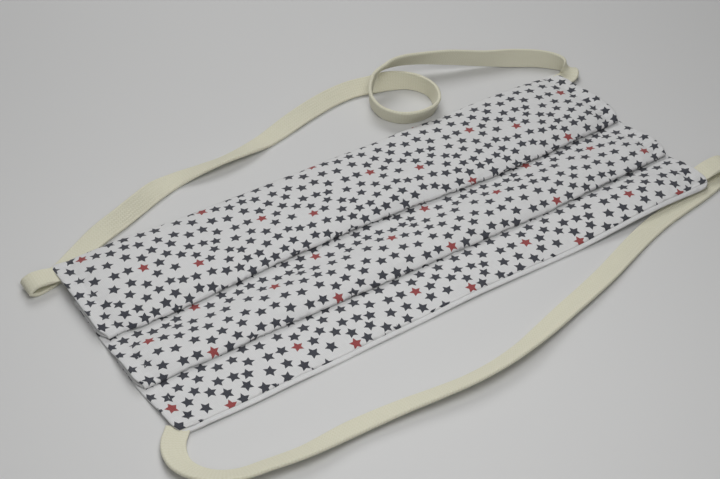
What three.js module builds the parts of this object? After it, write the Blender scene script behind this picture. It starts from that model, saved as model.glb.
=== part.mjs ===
// A flat-folded cloth face mask with two knife pleats, as it lies on a table, face up.
// Millimetres. X runs along the mask, +Y towards its top edge, +Z up off the table.
// The origin is on the table, under the middle of the folded cloth.

import * as THREE from 'three';

// ---- Driving dimensions ----

const MASK_WIDTH = 190;
const TOP_EDGE_Y = 37.4;
const BOTTOM_EDGE_Y = -37.4;
const CLOTH = 1;              // thickness of each of the two cloths
const CLEARANCE = 0.3;        // between faces that touch on the real mask
const LINING_SHOWS = 1.9;     // strip of lining below the printed cloth
const CORNER_ROUND = 4;       // bottom corners
const STRAP_WIDTH = 6.6;
const STRAP_THICK = 1.2;
const STRAP_CHAMFER = 0.35;

// A knife pleat: its fold points down the mask and overhangs the panel below by its depth.
const PLEATS = [
  { foldY: 0.4, depth: 22.0 },
  { foldY: -22.0, depth: 17.0 },
];

// Cloth walls as sections from the left side seam to the right: how far each panel is puffed up,
// and how far the two folds and the bottom edge stray from straight.
const SECTIONS = [
  { x: -95, puffTop: 0.0, puffMid: 0.0, puffLow: 0.0, fold1: 0.6, fold2: 0.4, hem: 0.6 },
  { x: -86, puffTop: 0.2, puffMid: 0.2, puffLow: 0.1, fold1: 0.2, fold2: 0.2, hem: 0.4 },
  { x: -70, puffTop: 0.6, puffMid: 0.3, puffLow: 0.3, fold1: -0.2, fold2: 0.0, hem: 0.0 },
  { x: -40, puffTop: 0.8, puffMid: 0.4, puffLow: 0.4, fold1: 0.4, fold2: 0.2, hem: 0.5 },
  { x: 0, puffTop: 0.7, puffMid: 0.4, puffLow: 0.3, fold1: 0.5, fold2: 0.1, hem: 0.8 },
  { x: 40, puffTop: 0.8, puffMid: 0.4, puffLow: 0.4, fold1: 0.0, fold2: -0.2, hem: 0.1 },
  { x: 70, puffTop: 0.6, puffMid: 0.3, puffLow: 0.3, fold1: -0.4, fold2: -0.2, hem: 0.4 },
  { x: 86, puffTop: 0.2, puffMid: 0.2, puffLow: 0.1, fold1: 0.0, fold2: 0.2, hem: 0.6 },
  { x: 95, puffTop: 0.0, puffMid: 0.0, puffLow: 0.0, fold1: 0.5, fold2: 0.5, hem: 0.8 },
];

const PUFFS = ['puffTop', 'puffMid', 'puffLow'];

// Two corners lie on the strap that is tucked under them.
const CORNER_LIFTS = [
  { sideX: -1, sideY: 1, height: 1.9, flatX: 71, freeX: 46, flatY: 28, freeY: 10 },
  { sideX: 1, sideY: -1, height: 1.9, flatX: 64, freeX: 38, flatY: 29, freeY: 16 },
];

// Routes of the two straps, from the left end to the right end. x and y are on the table; lift is
// how far the lowest edge is off it; across is the direction of the strap's width on the table,
// in degrees from +X, and tip how steeply that side of it rises, in degrees.
const UPPER_ROUTE = [
  { x: -95.4, y: 32.8, lift: 2.45, across: 90, tip: 0 },
  { x: -98.2, y: 32.8, lift: 2.9, across: 90, tip: 0 },
  { x: -101.6, y: 32.8, lift: 3.1, across: 90, tip: 0 },
  { x: -104.0, y: 32.9, lift: 1.7, across: 90, tip: 0 },
  { x: -101.8, y: 33.1, lift: 0.1, across: 90, tip: 0 },
  { x: -97.6, y: 33.8, lift: 0, across: 96, tip: 0 },
  { x: -92.0, y: 35.8, lift: 0, across: 107, tip: 0 },
  { x: -85.0, y: 39.4, lift: 0, across: 113, tip: 5 },
  { x: -76.5, y: 43.0, lift: 0, across: 113, tip: 23 },
  { x: -68.0, y: 45.8, lift: 0, across: 111, tip: 36 },
  { x: -60.5, y: 48.7, lift: 0, across: 112, tip: 43 },
  { x: -53.0, y: 52.2, lift: 0, across: 112, tip: 28 },
  { x: -45.5, y: 54.9, lift: 0.1, across: 100, tip: 2 },
  { x: -37.0, y: 54.7, lift: 0, across: 88, tip: -18 },
  { x: -28.0, y: 54.5, lift: 0, across: 91, tip: -27 },
  { x: -20.0, y: 55.4, lift: 0, across: 98, tip: -19 },
  { x: -10.5, y: 57.7, lift: 0.1, across: 105, tip: 0 },
  { x: 0.0, y: 60.3, lift: 0, across: 106, tip: 18 },
  { x: 10.0, y: 63.0, lift: 0, across: 104, tip: 24 },
  { x: 20.0, y: 65.0, lift: 0, across: 97, tip: 26 },
  { x: 28.0, y: 65.4, lift: 0, across: 88, tip: 27 },
  { x: 35.0, y: 63.9, lift: 0, across: 74, tip: 32 },
  { x: 41.0, y: 61.3, lift: 0, across: 58, tip: 62 },
  { x: 46.6, y: 57.6, lift: 0, across: 40, tip: 84 },
  { x: 49.7, y: 52.2, lift: 0, across: 0, tip: 90 },
  { x: 49.2, y: 46.0, lift: 0, across: 330, tip: 82 },
  { x: 45.2, y: 40.6, lift: 0, across: 290, tip: 70 },
  { x: 38.4, y: 39.3, lift: 0, across: 262, tip: 65 },
  { x: 31.7, y: 42.0, lift: 0, across: 232, tip: 65 },
  { x: 28.3, y: 48.2, lift: 0.1, across: 212, tip: 70 },
  { x: 28.8, y: 54.6, lift: 1.2, across: 200, tip: 78 },
  { x: 32.6, y: 59.4, lift: 4, across: 300, tip: 84 },
  { x: 39.0, y: 62.4, lift: 5.9, across: 289, tip: 54 },
  { x: 46.0, y: 63.9, lift: 4.9, across: 280, tip: 58 },
  { x: 54.0, y: 62.8, lift: 3.7, across: 255, tip: 65 },
  { x: 64.5, y: 59.0, lift: 2.5, across: 250, tip: 80 },
  { x: 76.0, y: 54.3, lift: 0.7, across: 244, tip: 84 },
  { x: 86.5, y: 49.2, lift: 0, across: 62, tip: 74 },
  { x: 92.6, y: 45.0, lift: 0, across: 52, tip: 80 },
  { x: 95.9, y: 41.7, lift: 0, across: 84, tip: 86 },
  { x: 97.9, y: 38.2, lift: 0.1, across: 148, tip: 71 },
  { x: 98.6, y: 35.5, lift: 0.5, across: 125, tip: 40 },
  { x: 97.8, y: 33.3, lift: 0.6, across: 100, tip: 9 },
  { x: 96.5, y: 32.8, lift: 0.6, across: 90, tip: 1 },
  { x: 95.4, y: 32.8, lift: 0.55, across: 90, tip: 0 },
];

const LOWER_ROUTE = [
  { x: -94.3, y: -36.7, lift: 0.5, across: 317, tip: 0 },
  { x: -95.6, y: -38.1, lift: 0.4, across: 318, tip: -2 },
  { x: -97.4, y: -41.6, lift: 0.2, across: 336, tip: -10 },
  { x: -98.0, y: -46.2, lift: 0, across: 6, tip: -20 },
  { x: -96.2, y: -50.9, lift: 0, across: 33, tip: -26 },
  { x: -92.6, y: -54.7, lift: 0, across: 52, tip: -29 },
  { x: -87.5, y: -57.3, lift: 0, across: 73, tip: -30 },
  { x: -80.0, y: -58.6, lift: 0, across: 82, tip: -30 },
  { x: -70.0, y: -59.9, lift: 0, across: 86, tip: -28 },
  { x: -55.0, y: -59.7, lift: 0, across: 89, tip: -17 },
  { x: -40.0, y: -60.8, lift: 0, across: 85, tip: -22 },
  { x: -30.0, y: -62.1, lift: 0, across: 84, tip: -27 },
  { x: -20.0, y: -63.0, lift: 0, across: 89, tip: -31 },
  { x: -10.0, y: -62.7, lift: 0, across: 95, tip: -31 },
  { x: 0.0, y: -61.2, lift: 0, across: 101, tip: -28 },
  { x: 10.0, y: -58.6, lift: 0, across: 105, tip: -18 },
  { x: 20.0, y: -55.8, lift: 0, across: 105, tip: -12 },
  { x: 30.0, y: -53.2, lift: 0, across: 105, tip: -10 },
  { x: 40.0, y: -50.3, lift: 0, across: 107, tip: -6 },
  { x: 50.0, y: -46.9, lift: 0, across: 109, tip: -3 },
  { x: 60.0, y: -43.6, lift: 0, across: 106, tip: 0 },
  { x: 70.0, y: -41.0, lift: 0, across: 102, tip: 0 },
  { x: 80.0, y: -39.3, lift: 0, across: 98, tip: 0 },
  { x: 90.0, y: -37.8, lift: 0, across: 99, tip: 0 },
  { x: 98.0, y: -36.1, lift: 0, across: 100, tip: 0 },
  { x: 104.2, y: -34.8, lift: 0.2, across: 94, tip: 0 },
  { x: 107.0, y: -33.9, lift: 1.9, across: 90, tip: 0 },
  { x: 104.2, y: -33.2, lift: 3.5, across: 90, tip: 0 },
  { x: 99.4, y: -32.8, lift: 3.2, across: 90, tip: 0 },
  { x: 95.4, y: -32.7, lift: 2.45, across: 90, tip: 0 },
];

// ---- Small helpers ----

const HALF_WIDTH = MASK_WIDTH / 2;
const HALF_PAIR = CLEARANCE / 2 + CLOTH;         // from mid-layer to either outside face
const LAYER_PITCH = 2 * HALF_PAIR + CLEARANCE;   // mid-layer to mid-layer where layers stack
const FOLD_RADIUS = LAYER_PITCH / 2;             // of the mid-layer round a fold
const FOLD_REACH = FOLD_RADIUS + HALF_PAIR;      // from a fold's centre to its outside

const ease = (t) => {
  const s = THREE.MathUtils.clamp(t, 0, 1);
  return s * s * (3 - 2 * s);
};

// One column of the section table at any x, eased from row to row.
function sectionValue(x, column) {
  const last = SECTIONS.length - 2;
  const found = SECTIONS.findIndex((row, i) => i <= last && x <= SECTIONS[i + 1].x);
  const i = found < 0 ? last : found;
  const a = SECTIONS[i];
  const b = SECTIONS[i + 1];
  return a[column] + (b[column] - a[column]) * ease((x - a.x) / (b.x - a.x));
}

function cornerLift(x, y) {
  let lift = 0;
  for (const c of CORNER_LIFTS) {
    const alongX = ease((c.sideX * x - c.freeX) / (c.flatX - c.freeX));
    const alongY = ease((c.sideY * y - c.freeY) / (c.flatY - c.freeY));
    lift += c.height * alongX * alongY;
  }
  return lift;
}

// ---- The folded cloth ----

// A half turn of the mid-layer, from the upper layer to the lower one.
// side is -1 for a fold that points down the mask, +1 for one that points up it.
function halfTurn(centreY, centreZ, side, steps) {
  const points = [];
  for (let i = 1; i < steps; i += 1) {
    const a = Math.PI * (i / steps);
    const y = centreY + side * FOLD_RADIUS * Math.sin(a);
    points.push(new THREE.Vector2(y, centreZ + FOLD_RADIUS * Math.cos(a)));
  }
  return points;
}

// A run of the mid-layer from y0 to y1. Its height rises at once and then levels out, over the
// first part of the run given by riseTo, with a puff over its whole length.
function run(y0, y1, z0, z1, steps, { riseTo = 1, puff = 0 } = {}) {
  const points = [];
  for (let i = 0; i <= steps; i += 1) {
    const t = i / steps;
    const level = z0 + (z1 - z0) * Math.sin(Math.min(t / riseTo, 1) * Math.PI / 2);
    points.push(new THREE.Vector2(y0 + (y1 - y0) * t, level + puff * Math.sin(Math.PI * t) ** 2));
  }
  return points;
}

// The mid-layer's path down the mask in the plane of one section, from top edge to bottom edge.
function foldedPath(x) {
  const ground = HALF_PAIR;
  const top = ground + 2 * LAYER_PITCH;
  const upperTurnZ = ground + 1.5 * LAYER_PITCH;
  const lowerTurnZ = ground + 0.5 * LAYER_PITCH;
  const folds = PLEATS.map((p, i) => p.foldY + sectionValue(x, `fold${i + 1}`));
  const bottomY = BOTTOM_EDGE_Y + sectionValue(x, 'hem');
  const path = [];
  let startY = TOP_EDGE_Y;
  PLEATS.forEach((pleat, i) => {
    const outerY = folds[i] + FOLD_REACH;
    const innerY = folds[i] + pleat.depth - FOLD_REACH;
    const rise = { riseTo: (startY - innerY) / (startY - outerY), puff: sectionValue(x, PUFFS[i]) };
    path.push(...run(startY, outerY, ground, top, i === 0 ? 12 : 10, rise));
    path.push(...halfTurn(outerY, upperTurnZ, -1, 6));
    path.push(...run(outerY, innerY, top - LAYER_PITCH, top - LAYER_PITCH, 2));
    path.push(...halfTurn(innerY, lowerTurnZ, 1, 6));
    startY = innerY;
    path.push(...run(startY, folds[i], ground, ground, 3).slice(0, -1));
    startY = folds[i];
  });
  path.push(...run(startY, bottomY, ground, ground, 6, { puff: sectionValue(x, PUFFS[2]) }));
  return path;
}

// The same path cut short by a distance at its end.
function shorten(path, cut) {
  const end = path[path.length - 1];
  const before = path[path.length - 2];
  const keep = 1 - cut / end.distanceTo(before);
  return [...path.slice(0, -1), before.clone().lerp(end, keep)];
}

// Shift every point of a path square to it, by an amount that is + on the printed side.
function offsetPath(path, distance) {
  return path.map((p, i) => {
    const a = path[Math.max(i - 1, 0)];
    const b = path[Math.min(i + 1, path.length - 1)];
    const along = b.clone().sub(a).normalize();
    return new THREE.Vector2(p.x + along.y * distance, p.y - along.x * distance);
  });
}

// Rounded bottom corners: how far the side is drawn in at this height.
function sideInset(y) {
  const t = THREE.MathUtils.clamp((BOTTOM_EDGE_Y + CORNER_ROUND - y) / CORNER_ROUND, 0, 1);
  return CORNER_ROUND * (1 - Math.sqrt(1 - t * t));
}

// One cloth of the pair as a closed wall between two offsets of the mid-layer.
function clothWall(innerOffset, outerOffset, cutShort) {
  const stations = [-95, -92, -86, -79, -71, -62, -50, -36, -20, 0, 20, 36, 50, 62, 71, 79, 86, 92, 95];
  const faces = [outerOffset, innerOffset].map((offset) => stations.map((x) => {
    const full = foldedPath(x);
    const path = cutShort > 0 ? shorten(full, cutShort) : full;
    return offsetPath(path, offset).map((p) => {
      const pull = sideInset(p.x) * ease((Math.abs(x) - 79) / (HALF_WIDTH - 79));
      const px = x - Math.sign(x) * pull;
      return new THREE.Vector3(px, p.x, p.y + cornerLift(px, p.x));
    });
  }));
  return closedWall(faces[0], faces[1]);
}

// A closed body between two grids of points of the same size, the first of them outermost.
function closedWall(outer, inner) {
  const columns = outer.length;
  const rows = outer[0].length;
  const positions = [];
  for (const grid of [outer, inner]) {
    for (const column of grid) {
      for (const p of column) {
        positions.push(p.x, p.y, p.z);
      }
    }
  }
  const at = (side, c, r) => (side * columns + c) * rows + r;
  const index = [];
  const quad = (a, b, c, d) => index.push(a, b, c, a, c, d);
  for (let c = 0; c < columns - 1; c += 1) {
    for (let r = 0; r < rows - 1; r += 1) {
      quad(at(0, c, r), at(0, c, r + 1), at(0, c + 1, r + 1), at(0, c + 1, r));
      quad(at(1, c, r), at(1, c + 1, r), at(1, c + 1, r + 1), at(1, c, r + 1));
    }
    quad(at(0, c, 0), at(0, c + 1, 0), at(1, c + 1, 0), at(1, c, 0));
    quad(at(0, c + 1, rows - 1), at(0, c, rows - 1), at(1, c, rows - 1), at(1, c + 1, rows - 1));
  }
  for (let r = 0; r < rows - 1; r += 1) {
    quad(at(0, 0, r + 1), at(0, 0, r), at(1, 0, r), at(1, 0, r + 1));
    quad(at(0, columns - 1, r), at(0, columns - 1, r + 1), at(1, columns - 1, r + 1), at(1, columns - 1, r));
  }
  return geometryFrom(positions, index);
}

function geometryFrom(positions, index) {
  const geometry = new THREE.BufferGeometry();
  geometry.setAttribute('position', new THREE.Float32BufferAttribute(positions, 3));
  geometry.setIndex(index);
  geometry.computeVertexNormals();
  return geometry;
}

// ---- The straps ----

// A flat strap with chamfered edges swept along its route and turned by its across and tip.
function strapGeometry(route, steps) {
  const widthWays = route.map((row) => {
    const across = THREE.MathUtils.degToRad(row.across);
    const tip = THREE.MathUtils.degToRad(row.tip);
    const flat = Math.cos(tip);
    return new THREE.Vector3(flat * Math.cos(across), flat * Math.sin(across), Math.sin(tip));
  });
  const centres = route.map((row, i) => {
    const rise = Math.abs(widthWays[i].z) * STRAP_WIDTH / 2;
    const body = Math.sqrt(1 - widthWays[i].z ** 2) * STRAP_THICK / 2;
    return new THREE.Vector3(row.x, row.y, row.lift + rise + body);
  });
  const centreLine = new THREE.CatmullRomCurve3(centres, false, 'centripetal');
  const widthLine = new THREE.CatmullRomCurve3(widthWays, false, 'centripetal');
  const section = strapSection();
  const positions = [];
  for (let i = 0; i <= steps; i += 1) {
    const t = centreLine.getUtoTmapping(i / steps);
    const centre = centreLine.getPoint(t);
    const along = centreLine.getTangent(t);
    const width = widthLine.getPoint(t);
    width.addScaledVector(along, -width.dot(along)).normalize();
    const face = along.clone().cross(width);
    const ring = section.map((p) => centre.clone().addScaledVector(width, p.x).addScaledVector(face, p.y));
    const sunk = Math.min(0, ...ring.map((v) => v.z));
    ring.forEach((v) => positions.push(v.x, v.y, v.z - sunk));
  }
  return geometryFrom(positions, tubeIndex(section.length, steps));
}

// The strap cut across: a flat bar with its four edges chamfered.
function strapSection() {
  const w = STRAP_WIDTH / 2;
  const h = STRAP_THICK / 2;
  const c = STRAP_CHAMFER;
  const corners = [[w, h - c], [w - c, h], [c - w, h], [-w, h - c], [-w, c - h], [c - w, -h], [w - c, -h], [w, c - h]];
  return corners.map(([x, y]) => new THREE.Vector2(x, y));
}

// Triangles of a tube of rings with a fan over each end.
function tubeIndex(sides, steps) {
  const index = [];
  for (let i = 0; i < steps; i += 1) {
    for (let k = 0; k < sides; k += 1) {
      const next = (k + 1) % sides;
      const a = i * sides + k;
      const b = i * sides + next;
      index.push(a, b, b + sides, a, b + sides, a + sides);
    }
  }
  const end = steps * sides;
  for (let k = 1; k < sides - 1; k += 1) {
    index.push(0, k + 1, k);
    index.push(end, end + k, end + k + 1);
  }
  return index;
}

// ---- Materials and assembly ----

function makeMaterial(color, roughness) {
  return new THREE.MeshStandardMaterial({ color, roughness, metalness: 0 });
}

function addMesh(group, name, geometry, material) {
  const mesh = new THREE.Mesh(geometry, material);
  mesh.name = name;
  group.add(mesh);
}

const mask = new THREE.Group();
mask.name = 'cloth_face_mask';
const innerFace = CLEARANCE / 2;
addMesh(mask, 'front_panel', clothWall(innerFace, HALF_PAIR, LINING_SHOWS), makeMaterial('#d6d6d8', 0.9));
addMesh(mask, 'lining', clothWall(-HALF_PAIR, -innerFace, 0), makeMaterial('#e2e2e2', 0.9));
const elastic = makeMaterial('#d3d0b8', 0.75);
addMesh(mask, 'upper_strap', strapGeometry(UPPER_ROUTE, 78), elastic);
addMesh(mask, 'lower_strap', strapGeometry(LOWER_ROUTE, 60), elastic.clone());

export default mask;
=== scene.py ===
"""A cloth face mask lying folded flat: the looks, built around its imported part."""

import math
import random

import bpy
import numpy as np
from bpy.props import FloatProperty, FloatVectorProperty, IntProperty, PointerProperty
from mathutils import Matrix, Vector
from mathutils.geometry import delaunay_2d_cdt


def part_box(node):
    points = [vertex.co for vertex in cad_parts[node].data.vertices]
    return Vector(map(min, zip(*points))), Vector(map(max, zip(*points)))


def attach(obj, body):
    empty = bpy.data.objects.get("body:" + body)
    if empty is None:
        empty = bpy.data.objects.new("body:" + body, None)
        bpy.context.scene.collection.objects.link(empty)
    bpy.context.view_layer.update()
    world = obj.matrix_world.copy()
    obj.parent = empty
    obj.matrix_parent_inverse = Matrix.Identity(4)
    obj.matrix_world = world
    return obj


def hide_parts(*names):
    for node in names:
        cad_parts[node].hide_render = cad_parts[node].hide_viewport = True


bl_info = {
    "name": "Cloth Face Mask",
    "version": (1, 0, 0),
    "blender": (4, 5, 0),
    "location": "3D View > Sidebar > Face Mask",
    "description": "Builds a pleated cotton face mask with flat elastic straps on its packed frame",
    "category": "Object",
}

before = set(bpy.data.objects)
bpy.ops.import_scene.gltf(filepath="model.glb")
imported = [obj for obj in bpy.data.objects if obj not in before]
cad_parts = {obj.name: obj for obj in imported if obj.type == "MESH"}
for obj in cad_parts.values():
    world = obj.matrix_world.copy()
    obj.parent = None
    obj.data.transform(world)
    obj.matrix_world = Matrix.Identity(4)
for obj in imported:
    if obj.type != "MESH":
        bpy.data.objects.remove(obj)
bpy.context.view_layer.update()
CLOTH_LOW, CLOTH_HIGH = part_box("lining")

MM = 0.001  # cloth is worked out in millimetres and written in metres

# ---- The straps' routes, in metres and degrees ----
# Each row is x, y, how far the lowest edge is off the table, the direction of the width on the
# table, and how steeply that side of it rises.

UPPER_ROUTE = [
    (-0.0954, 0.0328, 0.00245, 90, 0),
    (-0.0982, 0.0328, 0.0029, 90, 0),
    (-0.1016, 0.0328, 0.0031, 90, 0),
    (-0.1040, 0.0329, 0.0017, 90, 0),
    (-0.1018, 0.0331, 0.0001, 90, 0),
    (-0.0976, 0.0338, 0, 96, 0),
    (-0.0920, 0.0358, 0, 107, 0),
    (-0.0850, 0.0394, 0, 113, 5),
    (-0.0765, 0.0430, 0, 113, 23),
    (-0.0680, 0.0458, 0, 111, 36),
    (-0.0605, 0.0487, 0, 112, 43),
    (-0.0530, 0.0522, 0, 112, 28),
    (-0.0455, 0.0549, 0.0001, 100, 2),
    (-0.0370, 0.0547, 0, 88, -18),
    (-0.0280, 0.0545, 0, 91, -27),
    (-0.0200, 0.0554, 0, 98, -19),
    (-0.0105, 0.0577, 0.0001, 105, 0),
    (0.0000, 0.0603, 0, 106, 18),
    (0.0100, 0.0630, 0, 104, 24),
    (0.0200, 0.0650, 0, 97, 26),
    (0.0280, 0.0654, 0, 88, 27),
    (0.0350, 0.0639, 0, 74, 32),
    (0.0410, 0.0613, 0, 58, 62),
    (0.0466, 0.0576, 0, 40, 84),
    (0.0497, 0.0522, 0, 0, 90),
    (0.0492, 0.0460, 0, 330, 82),
    (0.0452, 0.0406, 0, 290, 70),
    (0.0384, 0.0393, 0, 262, 65),
    (0.0317, 0.0420, 0, 232, 65),
    (0.0283, 0.0482, 0.0001, 212, 70),
    (0.0288, 0.0546, 0.0012, 200, 78),
    (0.0326, 0.0594, 0.004, 300, 84),
    (0.0390, 0.0624, 0.0059, 289, 54),
    (0.0460, 0.0639, 0.0049, 280, 58),
    (0.0540, 0.0628, 0.0037, 255, 65),
    (0.0645, 0.0590, 0.0025, 250, 80),
    (0.0760, 0.0543, 0.0007, 244, 84),
    (0.0865, 0.0492, 0, 62, 74),
    (0.0926, 0.0450, 0, 52, 80),
    (0.0959, 0.0417, 0, 84, 86),
    (0.0979, 0.0382, 0.0001, 148, 71),
    (0.0986, 0.0355, 0.0005, 125, 40),
    (0.0978, 0.0333, 0.0006, 100, 9),
    (0.0965, 0.0328, 0.0006, 90, 1),
    (0.0954, 0.0328, 0.00055, 90, 0),
]

LOWER_ROUTE = [
    (-0.0943, -0.0367, 0.0005, 317, 0),
    (-0.0956, -0.0381, 0.0004, 318, -2),
    (-0.0974, -0.0416, 0.0002, 336, -10),
    (-0.0980, -0.0462, 0, 6, -20),
    (-0.0962, -0.0509, 0, 33, -26),
    (-0.0926, -0.0547, 0, 52, -29),
    (-0.0875, -0.0573, 0, 73, -30),
    (-0.0800, -0.0586, 0, 82, -30),
    (-0.0700, -0.0599, 0, 86, -28),
    (-0.0550, -0.0597, 0, 89, -17),
    (-0.0400, -0.0608, 0, 85, -22),
    (-0.0300, -0.0621, 0, 84, -27),
    (-0.0200, -0.0630, 0, 89, -31),
    (-0.0100, -0.0627, 0, 95, -31),
    (0.0000, -0.0612, 0, 101, -28),
    (0.0100, -0.0586, 0, 105, -18),
    (0.0200, -0.0558, 0, 105, -12),
    (0.0300, -0.0532, 0, 105, -10),
    (0.0400, -0.0503, 0, 107, -6),
    (0.0500, -0.0469, 0, 109, -3),
    (0.0600, -0.0436, 0, 106, 0),
    (0.0700, -0.0410, 0, 102, 0),
    (0.0800, -0.0393, 0, 98, 0),
    (0.0900, -0.0378, 0, 99, 0),
    (0.0980, -0.0361, 0, 100, 0),
    (0.1042, -0.0348, 0.0002, 94, 0),
    (0.1070, -0.0339, 0.0019, 90, 0),
    (0.1042, -0.0332, 0.0035, 90, 0),
    (0.0994, -0.0328, 0.0032, 90, 0),
    (0.0954, -0.0327, 0.00245, 90, 0),
]

# ---- The folded cloth, in millimetres ----
# The middle of the two cloths in the plane of one section: y down the mask and height off the
# table, from the top edge, over two knife pleats, to the bottom edge.

FOLD_PROFILE = [
    (37.4, 1.15), (36.3, 1.5), (34.6, 1.95), (32.0, 2.45), (28.0, 2.9), (23.0, 3.25),
    (18.0, 3.5), (13.0, 3.66), (9.2, 3.66), (6.6, 3.5), (4.6, 3.2), (3.0, 2.8), (1.9, 2.4),
    (1.2, 2.05), (1.25, 1.75), (2.0, 1.56), (4.0, 1.46), (8.0, 1.4), (14.0, 1.36),
    (19.6, 1.32), (20.7, 1.26), (21.1, 1.05), (21.15, 0.8), (20.85, 0.55), (20.0, 0.42),
    (15.0, 0.4), (8.0, 0.4), (4.0, 0.42), (2.4, 0.5), (1.0, 0.72), (-0.6, 1.0),
    (-2.2, 1.4), (-4.2, 1.95), (-7.0, 2.6), (-11.0, 3.15), (-14.0, 3.3), (-16.6, 3.22),
    (-18.4, 2.95), (-19.8, 2.55), (-20.8, 2.15), (-21.4, 1.78), (-21.3, 1.48),
    (-20.5, 1.32), (-18.0, 1.26), (-12.0, 1.24), (-7.0, 1.24), (-6.0, 1.18),
    (-5.55, 1.0), (-5.5, 0.78), (-5.75, 0.55), (-6.4, 0.42), (-10.0, 0.4), (-15.0, 0.4),
    (-18.6, 0.41), (-20.4, 0.5), (-22.0, 0.72), (-24.0, 0.98), (-27.5, 1.22),
    (-31.0, 1.28), (-34.0, 1.08), (-36.2, 0.72), (-37.4, 0.55),
]
FOLD_1, HEEL_1, FOLD_2, HEEL_2 = 13, 22, 40, 48  # rows where the two pleats turn

# How far the two folds and the bottom edge stray from straight, from the left side to the right.
DRIFT_X = [-95, -90, -84, -70, -55, -35, -15, 5, 25, 45, 60, 75, 86, 95]
FOLD_1_DRIFT = [1.8, 2.6, 1.4, 1.4, 2.4, 3.5, 3.8, 3.5, 2.1, 1.3, 1.5, 2.1, 2.3, 2.7]
FOLD_2_DRIFT = [3.0, 3.2, 3.3, 3.0, 3.1, 2.8, 2.4, 2.3, 1.9, 1.6, 1.8, 2.1, 2.6, 2.9]
HEM_DRIFT = [-0.3, -0.4, -0.5, -0.7, -0.5, -0.2, 0.0, 0.2, -0.2, -0.7, -0.9, -0.9, -1.0, -1.1]

# The corners lie at the height of the straps sewn into them, two of them on a strap tucked under:
# side in x, side in y, height, and where the lift is full and where it has gone, along x and y.
CORNER_LIFTS = [
    (-1, 1, 0.9, 71, 46, 28, 10),
    (1, -1, 1.9, 64, 38, 29, 16),
    (1, 1, -0.95, 92, 70, 34, 14),
    (-1, -1, 0.45, 92, 76, 36, 26),
]

# ---- The print ----
# One repeat of the scattered stars, in millimetres along and down the cloth, with each star's
# turn in degrees. The repeat steps sideways as it goes down, as a half-drop print does.
REPEAT_ALONG = (40.0, -1.2)
REPEAT_DOWN = (-19.5, 42.8)
STAR_WAIST = 0.5  # the notches between a star's tips, as a share of its radius
STAR_SPACING = 1.7  # least distance between two stars' middles, in radii
MIDDLE_OF_STAR = 0.6  # a distance that is inside every star
BENDS_NEAR_TURN = 5.0  # stars this close to a turn of the cloth bend with it
PRINT_MARGIN = 0.05  # kept clear of ink at the cloth's edges

# The pleats swallow a little more or less cloth from side to side, which slides the print down
# the middle and the bottom panel: x, and the slide of each in millimetres.
SLIDE_X = [-92, -45, -5, 10, 40, 75, 92]
MIDDLE_SLIDE = [-4.0, -2.8, -0.6, -1.4, 0.4, -0.8, -2.8]
BOTTOM_SLIDE = [-4.4, -4.3, -3.5, -2.4, -1.4, 0.7, 1.0]

NAVY_STARS = [
    (-82.2, 4.4, 20), (-78.4, 6.2, 32), (-73.8, 5.9, 5), (-70.0, 7.3, 0), (-67.0, 2.6, -8),
    (-62.4, 2.9, 3), (-64.2, 8.1, 5), (-58.9, 8.2, 20), (-55.1, 2.6, 25), (-51.4, 5.5, -10),
    (-72.2, 1.9, 12), (-76.6, 1.4, -5), (-49.4, 0.3, 10), (-83.0, -1.0, 12),
    (-79.0, -1.3, -10), (-75.2, -2.3, 4), (-70.3, -1.9, 20), (-64.8, -2.3, 10),
    (-59.3, -0.9, -15), (-55.2, -2.9, 5), (-86.1, 9.3, -15), (-81.7, 10.9, 30),
    (-75.8, 10.6, 0), (-72.0, 13.3, 30), (-67.9, 11.6, 22), (-61.8, 11.7, 15),
    (-55.2, 10.6, 8), (-50.6, 10.4, 10), (-87.5, 14.8, 30), (-82.0, 16.1, 3),
    (-77.8, 16.1, -10), (-68.6, 17.6, 12), (-65.0, 15.2, 0), (-61.6, 17.8, 15),
    (-57.9, 15.6, 28), (-53.6, 16.3, 5), (-50.0, 17.4, 12), (-84.5, 20.8, 32),
    (-79.2, 20.9, 12), (-71.1, 21.3, -8), (-65.6, 21.7, -12), (-58.0, 20.3, 0),
    (-52.2, 20.6, -12), (-75.6, 23.6, 3), (-55.2, 23.8, 5), (-48.6, 23.4, 15),
    (-81.6, 24.8, 32), (-85.8, 26.7, 32), (-73.8, 27.5, -3), (-69.5, 26.2, 2),
    (-66.3, 27.8, 30), (-62.5, 28.6, 18), (-50.9, 27.2, 15), (-78.2, 28.5, 0),
    (-57.6, 29.1, 18), (-86.1, 30.8, -10), (-82.1, 30.8, 2), (-70.6, 31.2, -12),
    (-53.8, 30.8, -15), (-49.8, 31.6, 15), (-74.5, 32.8, 15), (-63.8, 32.7, 22),
    (-82.2, 34.5, 28), (-78.5, 34.1, 3), (-68.0, 34.4, 30), (-60.2, 33.9, 34),
    (-72.5, 35.8, 5), (-57.4, 35.9, -8), (-52.1, 35.9, 0), (-86.9, 35.3, 2),
    (-79.3, 38.2, 10), (-70.7, 39.2, 15), (-66.3, 38.8, -5),
]
RED_STARS = [(-86.1, 3.1, -5), (-73.4, 17.2, 0), (-59.1, 24.0, 8), (-88.0, 38.6, 0)]

# ---- The camera ----
CAMERA_AT = (-0.1898, -0.24765, 0.2659)
CAMERA_LOOKS = (0.439, 0.614, -0.655)
CAMERA_ROLL = -1.99  # degrees
CAMERA_LENS = 68.07  # mm on a 36 mm sensor


# ---- Settings ----


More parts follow.
